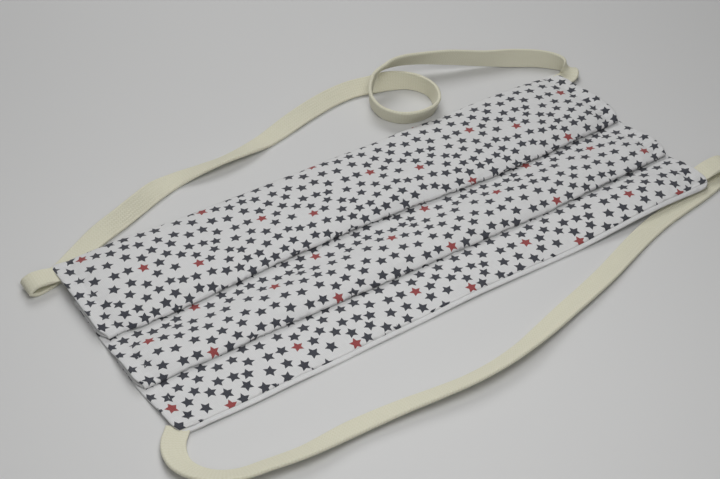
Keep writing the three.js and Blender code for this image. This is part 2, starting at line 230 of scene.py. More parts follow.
class MaskClothSettings(bpy.types.PropertyGroup):
    """Sizes and colours of the two cloths"""

    thickness: FloatProperty(
        name="Cloth thickness",
        description="Thickness of one cotton cloth with its seam allowance",
        default=0.37 * MM,
        min=0.1 * MM,
        max=1.0 * MM,
        precision=5,
        unit="LENGTH",
    )
    strip: FloatProperty(
        name="Lining strip",
        description="Height of the lining that shows below the printed cloth",
        default=1.5 * MM,
        min=0.0,
        max=5.0 * MM,
        precision=5,
        unit="LENGTH",
    )
    stitch_inset: FloatProperty(
        name="Side stitching inset",
        description="Distance from the side edge to the line of stitches that holds the pleats",
        default=4.8 * MM,
        min=2.0 * MM,
        max=10.0 * MM,
        precision=5,
        unit="LENGTH",
    )
    star_radius: FloatProperty(
        name="Star radius",
        description="From a printed star's middle to its tips",
        default=1.95 * MM,
        min=0.5 * MM,
        max=2.4 * MM,
        precision=5,
        unit="LENGTH",
    )
    cotton: FloatVectorProperty(
        name="Cotton",
        description="Colour of the white cotton",
        subtype="COLOR_GAMMA",
        default=(0.87, 0.87, 0.87),
        min=0.0,
        max=1.0,
    )
    navy: FloatVectorProperty(
        name="Navy ink",
        description="Colour of the dark stars",
        subtype="COLOR_GAMMA",
        default=(0.19, 0.20, 0.24),
        min=0.0,
        max=1.0,
    )
    red: FloatVectorProperty(
        name="Red ink",
        description="Colour of the red stars",
        subtype="COLOR_GAMMA",
        default=(0.60, 0.22, 0.22),
        min=0.0,
        max=1.0,
    )


class MaskStrapSettings(bpy.types.PropertyGroup):
    """Sizes and colour of the elastic straps"""

    width: FloatProperty(
        name="Strap width",
        description="Width of the flat elastic",
        default=6.6 * MM,
        min=3.0 * MM,
        max=12.0 * MM,
        precision=5,
        unit="LENGTH",
    )
    thickness: FloatProperty(
        name="Strap thickness",
        description="Thickness of the flat elastic over its ribs",
        default=1.15 * MM,
        min=0.5 * MM,
        max=2.0 * MM,
        precision=5,
        unit="LENGTH",
    )
    ribs: IntProperty(
        name="Ribs",
        description="Number of rubber cores that show as ribs across the elastic",
        default=7,
        min=3,
        max=16,
    )
    ivory: FloatVectorProperty(
        name="Elastic",
        description="Colour of the undyed elastic",
        subtype="COLOR_GAMMA",
        default=(0.88, 0.87, 0.80),
        min=0.0,
        max=1.0,
    )


class MaskStageSettings(bpy.types.PropertyGroup):
    """The floor, the lights and the lens"""

    floor: FloatVectorProperty(
        name="Floor",
        description="Colour of the pale floor",
        subtype="COLOR_GAMMA",
        default=(0.83, 0.83, 0.828),
        min=0.0,
        max=1.0,
    )
    lens: FloatProperty(
        name="Lens",
        description="Focal length of the camera on a 36 mm sensor",
        default=CAMERA_LENS,
        min=20.0,
        max=200.0,
        unit="CAMERA",
    )


# ---- Small helpers ----


def to_linear(colour):
    """An sRGB hex code, or three sRGB values, as linear RGBA."""
    if isinstance(colour, str):
        colour = [int(colour[i : i + 2], 16) / 255 for i in (1, 3, 5)]
    linear = [c / 12.92 if c <= 0.04045 else ((c + 0.055) / 1.055) ** 2.4 for c in colour]
    return (*linear, 1.0)


def add_node(tree, kind, inputs=None, **settings):
    """Adds one node with its settings. inputs gives each socket a value or what it links from."""
    node = tree.nodes.new(kind)
    for name, value in settings.items():
        setattr(node, name, value)
    for name, value in (inputs or {}).items():
        if isinstance(value, bpy.types.NodeSocket):
            tree.links.new(value, node.inputs[name])
        else:
            node.inputs[name].default_value = value
    return node


def math_node(tree, operation, a, b=0.0):
    """The output of one Math node."""
    return add_node(tree, "ShaderNodeMath", {0: a, 1: b}, operation=operation).outputs[0]


def new_material(name):
    """An empty node material and its Principled shader, joined to the output."""
    material = bpy.data.materials.new(name)
    material.use_nodes = True
    material.node_tree.nodes.clear()
    shader = add_node(material.node_tree, "ShaderNodeBsdfPrincipled")
    add_node(material.node_tree, "ShaderNodeOutputMaterial", {"Surface": shader.outputs[0]})
    return material, shader


def ease(t):
    """0 to 1 with flat ends."""
    t = np.clip(t, 0.0, 1.0)
    return t * t * (3.0 - 2.0 * t)


def smooth_path(points, per_span):
    """A centripetal Catmull-Rom curve through the points, with per_span steps in each span."""
    points = np.asarray(points, float)
    ends = [2 * points[0] - points[1], 2 * points[-1] - points[-2]]
    knots = np.vstack([ends[0], points, ends[1]])
    steps = np.linspace(0.0, 1.0, per_span, endpoint=False)[:, None]
    out = []
    for a, b, c, d in zip(knots, knots[1:], knots[2:], knots[3:]):
        gaps = [max(np.linalg.norm(q - p) ** 0.5, 1e-6) for p, q in ((a, b), (b, c), (c, d))]
        start = (b - a) / gaps[0] - (c - a) / (gaps[0] + gaps[1]) + (c - b) / gaps[1]
        stop = (c - b) / gaps[1] - (d - b) / (gaps[1] + gaps[2]) + (d - c) / gaps[2]
        start, stop = start * gaps[1], stop * gaps[1]
        bend = 2 * b - 2 * c + start + stop
        lean = 3 * c - 3 * b - 2 * start - stop
        out.append(((bend * steps + lean) * steps + start) * steps + b)
    return np.vstack([*out, points[-1:]])


def lengths_along(path):
    """Distance along the path at each of its points."""
    return np.concatenate([[0.0], np.cumsum(np.linalg.norm(np.diff(path, axis=0), axis=1))])


def resample(path, at):
    """Points of the path at these distances along it."""
    lengths = lengths_along(path)
    return np.stack([np.interp(at, lengths, column) for column in path.T], axis=1)


def new_piece(name, vertices, faces, materials, face_material=None, uv=None, normals=None):
    """A smooth mesh object from arrays, in metres. uv has one row for each vertex."""
    mesh = bpy.data.meshes.new(name)
    mesh.from_pydata([tuple(v) for v in vertices], [], faces)
    mesh.polygons.foreach_set("use_smooth", [True] * len(mesh.polygons))
    for material in materials:
        mesh.materials.append(material)
    if face_material is not None:
        mesh.polygons.foreach_set("material_index", face_material)
    if uv is not None:
        layer = mesh.uv_layers.new(name="Cloth")
        corners = np.empty(len(mesh.loops), int)
        mesh.loops.foreach_get("vertex_index", corners)
        layer.uv.foreach_set("vector", np.asarray(uv, np.float32)[corners].ravel())
    mesh.update()
    if normals is not None:
        mesh.normals_split_custom_set_from_vertices([tuple(n) for n in normals])
    piece = bpy.data.objects.new(name, mesh)
    bpy.context.collection.objects.link(piece)
    return piece


# ---- The straps ----


SEWN_IN = 2.6 * MM  # of each strap end between the cloths
SEWN_POINTS = 8  # points along each sewn-in end
ROUTE_STEPS = 24  # steps between two rows of a route
UPPER_LENGTH, LOWER_LENGTH = 0.310, 0.243  # with the sewn-in ends


def strap_rings(route, width, thickness, step):
    """Centres, width directions and face directions along a strap, every step metres."""
    route = np.array(route, float)
    across, tip = np.radians(route[:, 3]), np.radians(route[:, 4])
    ways = np.stack(
        [np.cos(tip) * np.cos(across), np.cos(tip) * np.sin(across), np.sin(tip)], axis=1
    )
    rise = np.abs(ways[:, 2]) * width / 2 + np.sqrt(1 - ways[:, 2] ** 2) * thickness / 2
    centres = np.column_stack([route[:, 0], route[:, 1], route[:, 2] + rise])
    path = smooth_path(centres, ROUTE_STEPS)
    way_path = smooth_path(ways, ROUTE_STEPS)
    tail = np.linspace(SEWN_IN, 0.0, SEWN_POINTS, endpoint=False)[:, None]
    first, last = path[0] - path[1], path[-1] - path[-2]
    head = path[0] + tail * first / np.linalg.norm(first)
    foot = path[-1] + tail[::-1] * last / np.linalg.norm(last)
    path = np.vstack([head, path, foot])
    ends = [np.tile(way, (SEWN_POINTS, 1)) for way in (way_path[0], way_path[-1])]
    way_path = np.vstack([ends[0], way_path, ends[1]])
    lengths = lengths_along(path)
    at = np.linspace(0.0, lengths[-1], max(int(lengths[-1] / step), 2))
    centre = resample(path, at)
    way = np.stack([np.interp(at, lengths, column) for column in way_path.T], axis=1)
    along = np.gradient(centre, axis=0)
    along /= np.linalg.norm(along, axis=1)[:, None]
    way -= along * np.sum(way * along, axis=1)[:, None]
    way /= np.linalg.norm(way, axis=1)[:, None]
    return centre, way, np.cross(along, way), at


def strap_section(width, thickness, ribs):
    """The elastic cut across: rounded edges, and a rounded rib over each rubber core."""
    per_rib = 5
    count = ribs * per_rib
    u = np.linspace(-1.0, 1.0, count + 1)
    crown = np.abs(np.cos(math.pi * ribs * (u + 1.0) / 2.0 + math.pi / 2)) ** 0.7
    edge = np.sqrt(np.clip(1.0 - np.clip((np.abs(u) - 0.9) / 0.1, 0, 1) ** 2, 0.0, 1.0))
    height = (0.88 + 0.12 * crown) * np.maximum(edge, 0.25) * thickness / 2
    top = np.column_stack([u * width / 2, height])
    bottom = np.column_stack([u[::-1] * width / 2, -height[::-1]])
    return np.vstack([top, bottom])[::-1]


def build_strap(name, route, settings, material):
    """One strap as a closed ribbed ribbon. Returns it with the points of its centre line."""
    width, thickness = settings.width, settings.thickness
    centre, way, face, at = strap_rings(route, width, thickness, 0.8 * MM)
    section = strap_section(width, thickness, settings.ribs)
    # The ends are pressed thin where they are sewn between the cloths.
    from_end = np.minimum(at, at[-1] - at)
    pressed = (0.45 + 0.55 * ease((from_end - SEWN_IN) / (3.0 * MM)))[:, None, None]
    rings = (
        centre[:, None, :]
        + way[:, None, :] * section[None, :, 0:1]
        + face[:, None, :] * section[None, :, 1:2] * pressed
    )
    rings[:, :, 2] -= np.minimum(rings[:, :, 2].min(axis=1), 0.0)[:, None]
    sides = len(section)
    vertices = rings.reshape(-1, 3)
    faces = []
    for i in range(len(rings) - 1):
        for k in range(sides):
            a, b = i * sides + k, i * sides + (k + 1) % sides
            faces.append((a, b, b + sides, a + sides))
    last = (len(rings) - 1) * sides
    half = sides // 2
    for k in range(half - 1):
        faces.append((sides - 1 - k, sides - 2 - k, k + 1, k))
        faces.append((last + k, last + k + 1, last + sides - 2 - k, last + sides - 1 - k))
    u = np.tile(section[:, 0] / MM, len(rings))
    v = np.repeat(at / MM, sides)
    strap = new_piece(name, vertices, faces, [material], uv=np.column_stack([u, v]))
    return strap, centre


def elastic_material(settings):
    """Ivory braided elastic, woven over rubber cores: matt ribs with fine slanted threads, with painted
    shade, deeper and yellower, in the valleys between the threads."""
    material, shader = new_material("Ivory braided elastic")
    tree = material.node_tree
    uv = add_node(tree, "ShaderNodeUVMap", uv_map="Cloth")
    split = add_node(tree, "ShaderNodeSeparateXYZ", {0: uv.outputs[0]})
    across, along = split.outputs[0], split.outputs[1]
    rib_pitch = settings.width / MM / settings.ribs
    rib = math_node(tree, "MULTIPLY", across, 1.0 / rib_pitch)
    slant = math_node(tree, "PINGPONG", rib, 0.5)
    thread = math_node(tree, "ADD", math_node(tree, "DIVIDE", along, 0.9), slant)
    thread = math_node(tree, "MULTIPLY", thread, math.pi)
    braid = math_node(tree, "ABSOLUTE", math_node(tree, "SINE", thread))
    grain = add_node(
        tree, "ShaderNodeTexNoise", {"Vector": uv.outputs[0], "Scale": 1.6, "Detail": 3.0}
    ).outputs[0]
    relief = math_node(tree, "ADD", braid, math_node(tree, "MULTIPLY", grain, 0.9))
    bump = add_node(
        tree, "ShaderNodeBump", {"Height": relief, "Strength": 0.35, "Distance": 0.08 * MM}
    )
    base = to_linear(settings.ivory)
    # Painted shade: the braid's valleys, where its relief is low, take this deeper, yellower colour; the
    # grain noise adds random tone.
    deep = to_linear([settings.ivory[0] * 0.95, settings.ivory[1] * 0.945, settings.ivory[2] * 0.9])
    tone_and_gap_shade = math_node(
        tree,
        "ADD",
        math_node(tree, "MULTIPLY", braid, 0.45),
        math_node(tree, "MULTIPLY", grain, 0.6),
    )
    colour = add_node(tree, "ShaderNodeMix", {0: tone_and_gap_shade, 6: deep, 7: base}, data_type="RGBA")
    tree.links.new(colour.outputs[2], shader.inputs["Base Color"])
    tree.links.new(bump.outputs[0], shader.inputs["Normal"])
    shader.inputs["Roughness"].default_value = 0.82
    shader.inputs["IOR"].default_value = 1.5
    shader.inputs["Specular IOR Level"].default_value = 0.3
    shader.inputs["Sheen Weight"].default_value = 0.15
    shader.inputs["Sheen Roughness"].default_value = 0.5
    return material


# ---- The cloths ----


PROFILE_STEPS = 40  # steps between two rows of the section


def fold_line():
    """The folded section as finely spaced y and z, with the distance down the cloth of each."""
    path = smooth_path(FOLD_PROFILE, PROFILE_STEPS)
    lengths = lengths_along(path)
    turns = [lengths[row * PROFILE_STEPS] for row in (FOLD_1, HEEL_1, FOLD_2, HEEL_2)]
    return path, lengths, turns


FOLD_PATH, FOLD_LENGTHS, TURNS = fold_line()
CLOTH_DOWN = FOLD_LENGTHS[-1]
HALF_WIDTH = (CLOTH_HIGH[0] - CLOTH_LOW[0]) / MM / 2
SHIFT_Y = (CLOTH_HIGH[1] + CLOTH_LOW[1]) / MM / 2
BOTTOM_Y = FOLD_PROFILE[-1][0]
CORNER_ROUND = 4.0
TOP_CORNER_DOWN, TOP_CORNER_IN = 3.0, 2.6  # the top corners' rounding, down and along the cloth
FOLD_ENDS_IN = (1.6, 1.4)  # how far each fold's ends are drawn in
DRAWN_IN_FROM = 76  # x beyond which the sides are drawn in
DRIFT_ABOVE = (22, 20)  # how far above each fold its drift is felt
HEM_DRIFT_ABOVE = 12
ON_TABLE = 0.4  # height of the middle of the pair where it lies on the table
PUCKER, GROOVE = 0.22, 0.26  # how high and how deep the side stitches draw the cloth
SLOPE_STEP = 0.12  # distance over which the cloth's slope is taken
SEAM_GAP = 0.03  # between the middle of the pair and the inner face of each cloth
MOUTH_GAP, MOUTH_REACH = 0.3, 4.3  # how far a strap end parts the cloths, and how far round it
# Where the strap ends go in between the cloths, as x and the distance down the flat cloth.
STRAP_MOUTHS = [(-95.0, 4.9), (95.0, 4.9), (-94.2, CLOTH_DOWN - 1.6), (95.0, CLOTH_DOWN - 4.9)]


def lift_of_corners(x, y):
    """Height added where a corner lies on the strap under it."""
    lift = 0.0
    for side_x, side_y, height, full_x, none_x, full_y, none_y in CORNER_LIFTS:
        along = ease((side_x * x - none_x) / (full_x - none_x))
        down = ease((side_y * y - none_y) / (full_y - none_y))
        lift = lift + height * along * down
    return lift


def panel_share(s):
    """1 on the three panels that show, 0 on the folded layers under them."""
    first, heel_1, second, heel_2 = TURNS
    share = ease((first - 1.0 - s) / 3.0)
    start_2 = 2 * heel_1 - first + 2.0
    share = share + ease((s - start_2) / 4.0) * ease((second - 1.0 - s) / 3.0)
    start_3 = 2 * heel_2 - second + 2.0
    return share + ease((s - start_3) / 4.0)


def stitch_closeness(x, inset, reach):
    """1 on either line of side stitches, falling to 0 within about reach millimetres."""
    return np.exp(-(((np.abs(x) - (HALF_WIDTH - inset)) / reach) ** 2))


def near_folds(s):
    """1 at each of the two folds, falling to 0 up the panel above it and at the heel under it."""
    first, heel_1, second, heel_2 = TURNS
    near_1 = np.interp(s, [first - DRIFT_ABOVE[0], first, heel_1], [0, 1, 0])
    return near_1, np.interp(s, [second - DRIFT_ABOVE[1], second, heel_2], [0, 1, 0])


def cloth_middle(x, s, inset):
    """Where the middle of the pair of cloths lies: x along and s down the flat cloth."""
    y = np.interp(s, FOLD_LENGTHS, FOLD_PATH[:, 0])
    z = np.interp(s, FOLD_LENGTHS, FOLD_PATH[:, 1])
    first, _, second, heel_2 = TURNS
    near_1, near_2 = near_folds(s)
    near_hem = ease((s - (CLOTH_DOWN - HEM_DRIFT_ABOVE)) / HEM_DRIFT_ABOVE)
    drift = near_1 * np.interp(x, DRIFT_X, FOLD_1_DRIFT)
    drift = drift + near_2 * np.interp(x, DRIFT_X, FOLD_2_DRIFT)
    drift = drift + near_hem * np.interp(x, DRIFT_X, HEM_DRIFT)
    shown = panel_share(s)
    press = 1.0 - 0.2 * stitch_closeness(x, inset, 3.0) - 0.06 * ease((np.abs(x) - 80) / 15)
    z = ON_TABLE + (z - ON_TABLE) * press
    # Soft swells over the panels, and puckers that the side stitches draw up.
    swell = 0.16 * np.sin(x / 7.3 + 0.11 * s + 0.6) * np.sin(s / 6.1 - x / 23.0)
    swell = swell + 0.13 * np.sin(x / 12.7 - 0.05 * s + 2.1) + 0.08 * np.sin(x / 4.1 + s / 5.3)
    pucker = np.sin(2 * math.pi * s / 3.7 + 0.8 * np.sin(s / 2.9) + 1.6 * np.sign(x))
    z = z + shown * (swell + PUCKER * pucker * stitch_closeness(x, inset, 3.4))
    on_panels = shown * ease((CLOTH_DOWN - 3.0 - s) / 1.5)
    z = z - GROOVE * on_panels * stitch_closeness(x, inset, 0.6)
    # The bottom corners are rounded and drawn in, the left one further.
    into_corner = np.clip((BOTTOM_Y + CORNER_ROUND - y) / CORNER_ROUND, 0.0, 1.0)
    pull = CORNER_ROUND * (1 - np.sqrt(1 - np.minimum(into_corner, 0.995) ** 2))
    pull = pull * ease((s - (CLOTH_DOWN - 16)) / 6)
    pull = pull + np.where(x < 0, 1.3, 0.4) * ease((s - heel_2 - 6) / 26)
    into_top = np.clip((TOP_CORNER_DOWN - s) / TOP_CORNER_DOWN, 0.0, 1.0)
    pull = pull + TOP_CORNER_IN * (1 - np.sqrt(1 - np.minimum(into_top, 0.995) ** 2))
    for fold, drawn_in in zip((first, second), FOLD_ENDS_IN):
        pull = pull + drawn_in * np.exp(-(((s - fold) / 2.6) ** 2))
    px = x - np.sign(x) * pull * ease((np.abs(x) - DRAWN_IN_FROM) / (HALF_WIDTH - DRAWN_IN_FROM))
    z = z + lift_of_corners(px, y)
    return np.stack([px, y + drift + SHIFT_Y, z], axis=-1)


def parted(x, s):
    """How far each cloth's inner face is from the middle: more where a strap end lies between."""
    reach = MOUTH_REACH**2
    mouth = sum(np.exp(-((((x - a) ** 2 + (s - b) ** 2) / reach) ** 2)) for a, b in STRAP_MOUTHS)
    return SEAM_GAP + MOUTH_GAP * mouth


def rounded(distance, radius):
    """0 at an edge, rising to 1 in a quarter circle of that radius."""
    t = 1.0 - np.clip(distance / radius, 0.0, 1.0)
    return np.sqrt(np.clip(1.0 - t * t, 0.0, 1.0))


def place_on_cloth(x, s, offset, inset):
    """Points of a surface that stands off the middle by offset(x, s), and its normals."""
    step, half_step = SLOPE_STEP, SLOPE_STEP / 2

    def off_middle(u, v):
        ahead = cloth_middle(u + step, v, inset) - cloth_middle(u - step, v, inset)
        down = cloth_middle(u, v + step, inset) - cloth_middle(u, v - step, inset)
        normal = np.cross(down, ahead)
        normal /= np.linalg.norm(normal, axis=-1)[..., None]
        return cloth_middle(u, v, inset) + normal * offset(u, v)[..., None]

    points = off_middle(x, s)
    ahead = off_middle(x + half_step, s) - off_middle(x - half_step, s)
    down = off_middle(x, s + half_step) - off_middle(x, s - half_step)
    normals = np.cross(down, ahead)
    normals /= np.linalg.norm(normals, axis=-1)[..., None]
    return points, normals


def columns_of_cloth():
    """Stations along the cloth, closest at the side seams and the side stitches."""
    half = list(np.arange(0.0, 82.0, 2.2)) + list(np.arange(82.6, HALF_WIDTH - 1.0, 0.75))
    half += [HALF_WIDTH - d for d in (1.0, 0.7, 0.45, 0.25, 0.1, 0.0)]
    return np.array([-x for x in half[:0:-1]] + half)


def rows_of_cloth(start, stop, seam=None):
    """Stations down the cloth, closest at its edges and round each turn of a pleat."""
    rows = list(np.arange(start + 1.2, stop - 1.2, 0.85))
    for turn in TURNS:
        rows = [s for s in rows if abs(s - turn) > 2.6]
        rows += list(turn + np.linspace(-2.5, 2.5, 23))
    edge = (0.0, 0.08, 0.2, 0.38, 0.6, 0.9)
    rows += [start + d for d in edge] + [stop - d for d in edge]
    if seam is not None:
        rows = [s for s in rows if abs(s - seam) > 0.3]
        rows += [seam + d for d in (-0.25, -0.02, 0.0, 0.06, 0.14, 0.28)]
    return np.array(sorted(rows))


def star_outline(x, s, turn, radius):
    """The ten points of a printed star, anticlockwise, as x and minus s."""
    inner = STAR_WAIST * radius
    points = []
    for k in range(10):
        a = math.radians(turn - 36.0 * k)
        r = radius if k % 2 == 0 else inner
        points.append((x + r * math.sin(a), -s + r * math.cos(a)))
    return points


def in_short_steps(points):
    """The same outline with each edge in four, so that it bends with the cloth."""
    pairs = zip(points, points[1:] + points[:1])
    steps = (0.0, 0.25, 0.5, 0.75)
    return [(a + (c - a) * t, b + (d - b) * t) for (a, b), (c, d) in pairs for t in steps]


def clip_outline(points, low, high):
    """The outline cut off at the sides of a box."""
    for axis in (0, 1):
        for limit, side in ((low[axis], 1), (high[axis], -1)):
            kept = []
            for p, q in zip(points, points[1:] + points[:1]):
                p_in, q_in = side * (p[axis] - limit) >= 0, side * (q[axis] - limit) >= 0
                if p_in:
                    kept.append(p)
                if p_in != q_in:
                    t = (limit - p[axis]) / (q[axis] - p[axis])
                    kept.append((p[0] + t * (q[0] - p[0]), p[1] + t * (q[1] - p[1])))
            points = kept
            if not points:
                return points
    return points


def slide_of_print(x, s):
    """How far the print is slid down the cloth at a star: a fold that lies higher turns the cloth
    sooner, and leaves most of the print above it where it was."""
    near_1, near_2 = near_folds(s)
    slide = 0.7 * near_1 * np.interp(x, DRIFT_X, FOLD_1_DRIFT)
    slide += 0.4 * near_2 * np.interp(x, DRIFT_X, FOLD_2_DRIFT)
    if s > TURNS[3]:
        slide += np.interp(x, SLIDE_X, BOTTOM_SLIDE)
    elif s > TURNS[1]:
        slide += np.interp(x, SLIDE_X, MIDDLE_SLIDE)
    return float(slide)


def printed_stars(top, bottom, radius):
    """Every star on the flat cloth between two rows, as its outline and its ink."""
    rng = random.Random(7)
    low = (-HALF_WIDTH + PRINT_MARGIN, -bottom + PRINT_MARGIN)
    high = (HALF_WIDTH - PRINT_MARGIN, -top - PRINT_MARGIN)
    stars, middles = [], []
    for ink, chart in ((2, RED_STARS), (1, NAVY_STARS)):
        for down in range(-1, 5):
            for along in range(-4, 10):
                for x, s, turn in chart:
                    px = x + along * REPEAT_ALONG[0] + down * REPEAT_DOWN[0]
                    ps = s + along * REPEAT_ALONG[1] + down * REPEAT_DOWN[1]
                    ps += slide_of_print(px, ps)
                    if abs(px) > HALF_WIDTH + radius or not top - radius < ps < bottom + radius:
                        continue
                    if any(math.hypot(px - a, ps - b) < STAR_SPACING * radius for a, b in middles):
                        continue
                    middles.append((px, ps))
                    size = radius * rng.uniform(0.97, 1.03)
                    outline = star_outline(px, ps, turn, size)
                    if min(abs(ps - turn_row) for turn_row in TURNS) < BENDS_NEAR_TURN:
                        outline = in_short_steps(outline)
                    outline = clip_outline(outline, low, high)
                    if len(outline) >= 3:
                        stars.append((outline, ink))
    return stars


def grid_faces(columns, rows, index):
    """Quads of a grid, facing the printed side. index gives the vertex at a column and row."""
    faces = []
    for c in range(columns - 1):
        for r in range(rows - 1):
            faces.append((index(c, r), index(c, r + 1), index(c + 1, r + 1), index(c + 1, r)))
    return faces


def closed_cloth(name, columns, rows, outer, inner, inset, materials, stars=()):
    """A cloth with thickness: an outer face on the printed side, cut along the stars, and an
    inner face that shares its edges. outer and inner are their offsets from the middle."""
    wide, deep = len(columns), len(rows)
    flat = [(x, -s) for x in columns for s in rows]
    outlines, inks = [], []
    for outline, ink in stars:
        outlines.append(list(range(len(flat), len(flat) + len(outline))))
        flat.extend(outline)
        inks.append(ink)
    if outlines:
        points, _, faces, sources, _, owners = delaunay_2d_cdt(
            [Vector(p) for p in flat], [], outlines, 0, 1e-5, True
        )
        flat_points = np.array([tuple(p) for p in points])
        index_of = {}
        for i, known in enumerate(sources):
            for source in known:
                index_of[source] = i
        face_ink = [inks[owner[0]] if owner else 0 for owner in owners]
        faces = [tuple(f) for f in faces]
        # A face in a star's middle belongs to it, whichever outline claims it.
        middles = np.array([np.mean(outline, axis=0) for outline, _ in stars])
        for i, face in enumerate(faces):
            if not face_ink[i]:
                away = np.hypot(*(middles - flat_points[list(face)].mean(axis=0)).T)
                nearest = int(away.argmin())
                if away[nearest] < MIDDLE_OF_STAR:
                    face_ink[i] = inks[nearest]
    else:
        flat_points = np.array(flat)
        index_of = {i: i for i in range(len(flat))}
        faces = grid_faces(wide, deep, lambda c, r: c * deep + r)
        face_ink = [0] * len(faces)
    x, s = flat_points[:, 0], -flat_points[:, 1]
    front, front_normals = place_on_cloth(x, s, outer, inset)
    inner_index = {}
    back_flat = []
    for c in range(1, wide - 1):
        for r in range(1, deep - 1):
            inner_index[c, r] = len(flat_points) + len(back_flat)
            back_flat.append((columns[c], rows[r]))
    back_flat = np.array(back_flat)
    back, back_normals = place_on_cloth(back_flat[:, 0], back_flat[:, 1], inner, inset)

    def back_index(c, r):
        return inner_index[c, r] if (c, r) in inner_index else index_of[c * deep + r]

    back_faces = [f[::-1] for f in grid_faces(wide, deep, back_index)]
    vertices = np.vstack([front, back]) * MM
    vertices[:, 2] = np.maximum(vertices[:, 2], 0.0)
    normals = np.vstack([front_normals, -back_normals])
    uv = np.vstack([np.column_stack([x, s]), back_flat])
    return new_piece(
        name,
        vertices,
        faces + back_faces,
        materials,
        face_material=face_ink + [0] * len(back_faces),
        uv=uv,
        normals=normals,
    )


def cotton_material(name, colour, fibre):
    """Plain woven quilting cotton, printed or bleached: matt, with a fine even weave, soft slubs,
    painted shade in the gaps between the threads and a faint fuzz at grazing angles. fibre is how much
    white shows through the ink."""
    material, shader = new_material(name)
    tree = material.node_tree
    uv = add_node(tree, "ShaderNodeUVMap", uv_map="Cloth")
    # Real threads lie 0.33 mm apart; they are drawn 0.5 mm apart so that they show.
    pitch = 0.5
    threads = add_node(
        tree, "ShaderNodeVectorMath", {0: uv.outputs[0], 1: (math.pi / pitch,) * 3}, operation="MULTIPLY"
    )
    split = add_node(tree, "ShaderNodeSeparateXYZ", {0: threads.outputs[0]})
    warp = math_node(tree, "SINE", split.outputs[0])
    weft = math_node(tree, "SINE", split.outputs[1])
    crossing = math_node(tree, "ABSOLUTE", math_node(tree, "MULTIPLY", warp, weft))
    slubs = []
    for stretch in ((0.35, 2.2, 1.0), (2.2, 0.35, 1.0)):
        lay = add_node(
            tree, "ShaderNodeVectorMath", {0: uv.outputs[0], 1: stretch}, operation="MULTIPLY"
        )
        slubs.append(
            add_node(
                tree,
                "ShaderNodeTexNoise",
                {"Vector": lay.outputs[0], "Scale": 1.0, "Detail": 3.0, "Roughness": 0.6},
            ).outputs[0]
        )
    slub = math_node(tree, "ADD", slubs[0], slubs[1])
    creases = add_node(
        tree,
        "ShaderNodeTexNoise",
        {"Vector": uv.outputs[0], "Scale": 0.22, "Detail": 4.0, "Roughness": 0.55},
    ).outputs[0]
    relief = math_node(tree, "ADD", crossing, math_node(tree, "MULTIPLY", slub, 0.9))
    fine = add_node(
        tree, "ShaderNodeBump", {"Height": relief, "Strength": 0.5, "Distance": 0.08 * MM}
    )
    soft = add_node(
        tree,
        "ShaderNodeBump",
        {"Height": creases, "Strength": 0.6, "Distance": 1.2 * MM, "Normal": fine.outputs[0]},
    )
    base = to_linear(colour)
    ink_and_fibre = tuple(b + (w - b) * fibre for b, w in zip(base, to_linear((0.93, 0.93, 0.93))))
    # Painted shade: where the weave's relief is low, in the gaps between the threads, the colour darkens
    # to this; the slubs add random tone.
    dark = tuple(b * 0.84 for b in base[:3]) + (1.0,)
    tone_and_gap_shade = math_node(
        tree,
        "ADD",
        math_node(tree, "MULTIPLY", crossing, 0.35),
        math_node(tree, "MULTIPLY", slub, 0.45),
    )
    shade = add_node(tree, "ShaderNodeMix", {0: tone_and_gap_shade, 6: dark, 7: ink_and_fibre}, data_type="RGBA")
    tree.links.new(shade.outputs[2], shader.inputs["Base Color"])
    tree.links.new(soft.outputs[0], shader.inputs["Normal"])
    shader.inputs["Roughness"].default_value = 0.9
    shader.inputs["IOR"].default_value = 1.5
    shader.inputs["Specular IOR Level"].default_value = 0.25
    shader.inputs["Sheen Weight"].default_value = 0.12
    shader.inputs["Sheen Roughness"].default_value = 0.6
    return material


def thread_material():
    """White sewing thread, spun and bleached: a little glossier than the cloth it lies in, with painted
    shade in the grooves between its plies.
    """
    material, shader = new_material("White spun sewing thread")
    tree = material.node_tree
    place = add_node(tree, "ShaderNodeTexCoord")
    ply = add_node(
        tree,
        "ShaderNodeTexWave",
        {"Vector": place.outputs["Object"], "Scale": 900.0, "Distortion": 0.6},
        bands_direction="DIAGONAL",
    )
    # Painted shade: the grey goes in the grooves between the plies, where the bump is low.
    colour = add_node(
        tree,
        "ShaderNodeMix",
        {0: ply.outputs[1], 6: to_linear("#c9c9ca"), 7: to_linear("#ececec")},
        data_type="RGBA",
    )
    bump = add_node(
        tree, "ShaderNodeBump", {"Height": ply.outputs[1], "Strength": 0.4, "Distance": 0.04 * MM}
    )
    tree.links.new(colour.outputs[2], shader.inputs["Base Color"])
    tree.links.new(bump.outputs[0], shader.inputs["Normal"])
    shader.inputs["Roughness"].default_value = 0.65
    shader.inputs["IOR"].default_value = 1.5
    shader.inputs["Sheen Weight"].default_value = 0.1
    return material


def white_cotton(settings):
    """The bleached cotton of the lining, shared once made."""
    name = "Bleached woven cotton"
    return bpy.data.materials.get(name) or cotton_material(name, settings.cotton, 0.3)


# ---- Operators ----


class MASK_OT_camera(bpy.types.Operator):
    """Set the camera in front of the mask's left end, looking down on it"""

    bl_idname = "face_mask.camera"
    bl_label = "Camera"

    def execute(self, context):
        data = bpy.data.cameras.new("Camera")
        data.lens = context.scene.mask_stage.lens
        data.sensor_width = 36.0
        data.clip_start = 0.01
        camera = bpy.data.objects.new("Camera", data)
        context.collection.objects.link(camera)
        looks = Vector(CAMERA_LOOKS).normalized()
        level = looks.cross(Vector((0, 0, 1))).normalized()
        roll = math.radians(CAMERA_ROLL)
        right = math.cos(roll) * level + math.sin(roll) * looks.cross(level)
        up = right.cross(looks)
        turn = Matrix((right, up, -looks)).transposed().to_4x4()
        camera.matrix_world = Matrix.Translation(CAMERA_AT) @ turn
        context.scene.camera = camera
        return {"FINISHED"}


